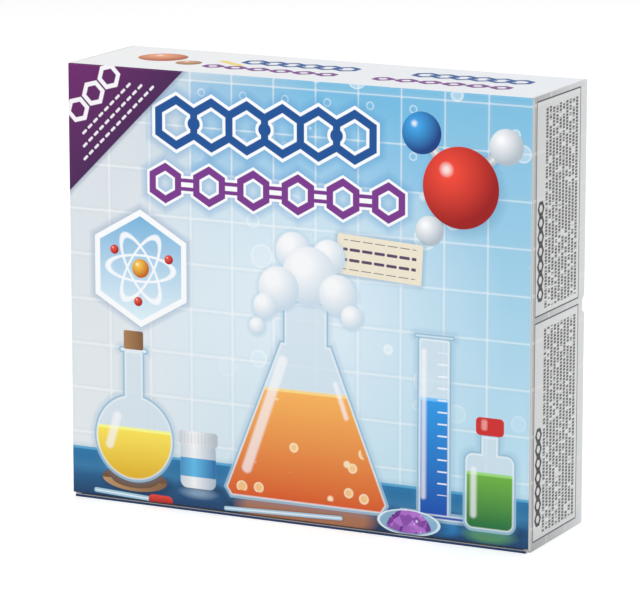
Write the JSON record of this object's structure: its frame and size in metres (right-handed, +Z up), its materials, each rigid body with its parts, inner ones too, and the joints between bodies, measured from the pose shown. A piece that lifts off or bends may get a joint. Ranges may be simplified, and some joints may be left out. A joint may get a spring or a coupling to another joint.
{
  "type": "chemistry set case",
  "caption": "Upright folding board case with a top-hinged front lid and tuck flap, holding a moulded tray of toy laboratory ware.",
  "frame": {"origin": "middle of the footprint, on the surface that the case stands on", "axes": "+Z up, +X along the width to the right seen from the front, +Y from the printed lid to the back panel"},
  "size_m": [0.34, 0.09, 0.3],
  "materials": {
    "printed_board": "gloss",
    "plain_board": "matte",
    "tray_plastic": "satin",
    "book_cover": "gloss",
    "book_pages": "matte",
    "red_plastic": "gloss",
    "clear_plastic": "clear",
    "black_rubber": "matte",
    "white_plastic": "satin",
    "red_cap": "satin",
    "blue_cap": "satin",
    "blue_plastic": "satin",
    "straw_plastic": "gloss",
    "soft_vinyl": "satin",
    "elastic": "woven",
    "balloon_rubber": "satin"
  },
  "bodies": {
    "case": {"balloon": "balloon_rubber", "base_panel": "printed_board", "beaker": "clear_plastic", "blue_pot": "white_plastic", "booklet_cover": "book_cover", "booklet_pages": "book_pages", "corner_flaps_bottom": "plain_board", "corner_flaps_top": "plain_board", "front_wall": "printed_board", "funnel": "white_plastic", "goggles_frame": "soft_vinyl", "goggles_lens": "clear_plastic", "goggles_strap": "elastic", "hinge_wall": "printed_board", "insert_tray": "tray_plastic", "measuring_spoon": "white_plastic", "petri_dish": "clear_plastic", "pipette": "clear_plastic", "red_pot": "white_plastic", "side_liner_left": "plain_board", "side_liner_right": "plain_board", "side_wall_left": "printed_board", "side_wall_right": "printed_board", "straw": "straw_plastic", "syringe_barrel": "clear_plastic", "test_tube_1": "clear_plastic", "test_tube_2": "clear_plastic", "test_tube_3": "clear_plastic", "tube_rack": "red_plastic", "tweezers_fixed_arm": "blue_plastic", "white_pot": "white_plastic"},
    "lid": {"lid_panel": "printed_board"},
    "tuck_flap": {"tuck_flap": "plain_board"},
    "stopper_1": {"stopper_1": "black_rubber"},
    "stopper_2": {"stopper_2": "black_rubber"},
    "stopper_3": {"stopper_3": "black_rubber"},
    "petri_lid": {"petri_lid": "clear_plastic"},
    "white_pot_cap": {"white_pot_cap": "white_plastic"},
    "red_pot_cap": {"red_pot_cap": "red_cap"},
    "blue_pot_cap": {"blue_pot_cap": "blue_cap"},
    "plunger": {"syringe_plunger": "white_plastic", "plunger_seal": "black_rubber"},
    "tweezers_arm": {"tweezers_moving_arm": "blue_plastic"}
  },
  "joints": [
    {"name": "lid_hinge", "type": "hinge", "parent": "case", "child": "lid", "pos_m": [0, -0.045, 0.3], "axis": [-1, 0, 0], "range_deg": [0, 180]},
    {"name": "tuck_flap_fold", "type": "hinge", "parent": "lid", "child": "tuck_flap", "pos_m": [0, -0.0434, 0.00425], "axis": [1, 0, 0], "range_deg": [0, 88.2]},
    {"name": "stopper_1_pull", "type": "slide", "parent": "case", "child": "stopper_1", "axis": [0, 0, 1], "range_m": [0, 0.012]},
    {"name": "stopper_2_pull", "type": "slide", "parent": "case", "child": "stopper_2", "axis": [0, 0, 1], "range_m": [0, 0.012]},
    {"name": "stopper_3_pull", "type": "slide", "parent": "case", "child": "stopper_3", "axis": [0, 0, 1], "range_m": [0, 0.012]},
    {"name": "petri_lid_lift", "type": "slide", "parent": "case", "child": "petri_lid", "axis": [0, -1, 0], "range_m": [0, 0.013]},
    {"name": "white_pot_cap_turn", "type": "hinge", "parent": "case", "child": "white_pot_cap", "pos_m": [-0.00795, -0.0267, 0.16441], "axis": [0, -1, 0], "range_deg": [0, 360]},
    {"name": "red_pot_cap_turn", "type": "hinge", "parent": "case", "child": "red_pot_cap", "pos_m": [-0.00795, -0.0267, 0.09786], "axis": [0, -1, 0], "range_deg": [0, 360]},
    {"name": "blue_pot_cap_turn", "type": "hinge", "parent": "case", "child": "blue_pot_cap", "pos_m": [0.04457, -0.0267, 0.16441], "axis": [0, -1, 0], "range_deg": [0, 360]},
    {"name": "plunger_slide", "type": "slide", "parent": "case", "child": "plunger", "axis": [1, 0, 0], "range_m": [0, 0.052]},
    {"name": "tweezers_squeeze", "type": "hinge", "parent": "case", "child": "tweezers_arm", "pos_m": [0.08256, -0.0325, 0.18213], "axis": [0, -1, 0], "range_deg": [0, 4.4], "stiffness_Nm_per_rad": 0.02}
  ],
  "couplings": [
    {"joint": "tuck_flap_fold", "follows": "lid_hinge", "ratio": 0.49}
  ]
}
